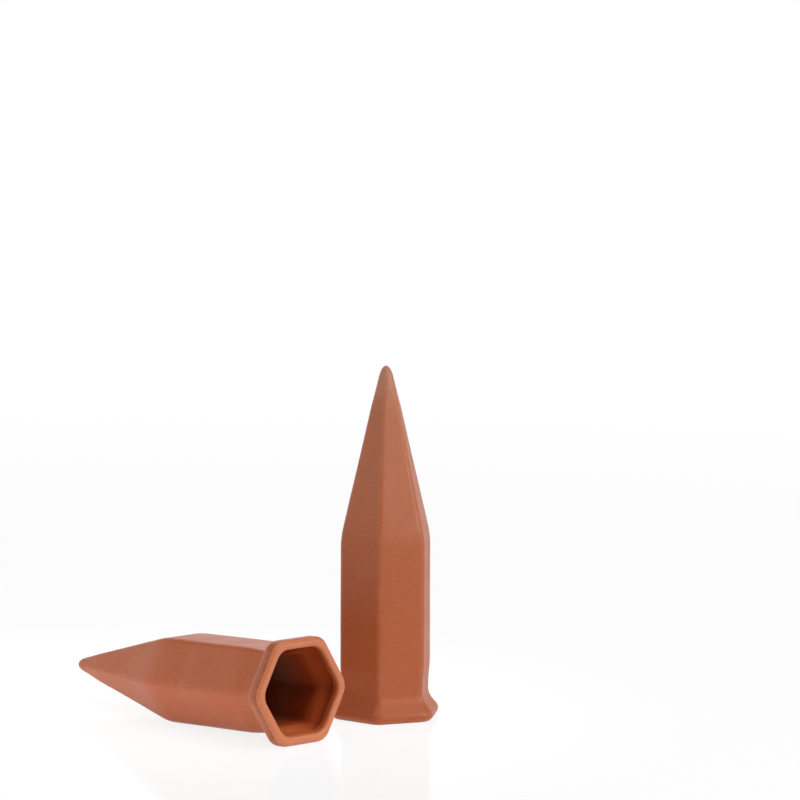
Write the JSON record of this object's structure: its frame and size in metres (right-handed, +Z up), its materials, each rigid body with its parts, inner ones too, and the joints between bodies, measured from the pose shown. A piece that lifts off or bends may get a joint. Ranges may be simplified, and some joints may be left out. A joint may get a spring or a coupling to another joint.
{
  "type": "self watering spike",
  "caption": "Hollow hexagonal terracotta watering spikes with flared collars and long points; a bottle neck goes in the mouth and the porous wall lets water seep into the soil.",
  "frame": {"origin": "centre of the standing spike's mouth, on the surface that both spikes rest on", "axes": "+Z up, along the standing spike towards its point; +X along the lying spike from its point to its mouth, seen from above; +Y away from the lying spike"},
  "size_m": [0.181, 0.1393, 0.18],
  "materials": {
    "terracotta": "unglazed matte, low-fired red clay"
  },
  "bodies": {
    "standing": {"standing_spike": "terracotta"},
    "lying": {"lying_spike": "terracotta"}
  },
  "joints": [
    {"name": "lying_spike_lift", "type": "slide", "parent": "standing", "child": "lying", "axis": [0, 0, 1], "range_m": [0, 0.2]}
  ]
}
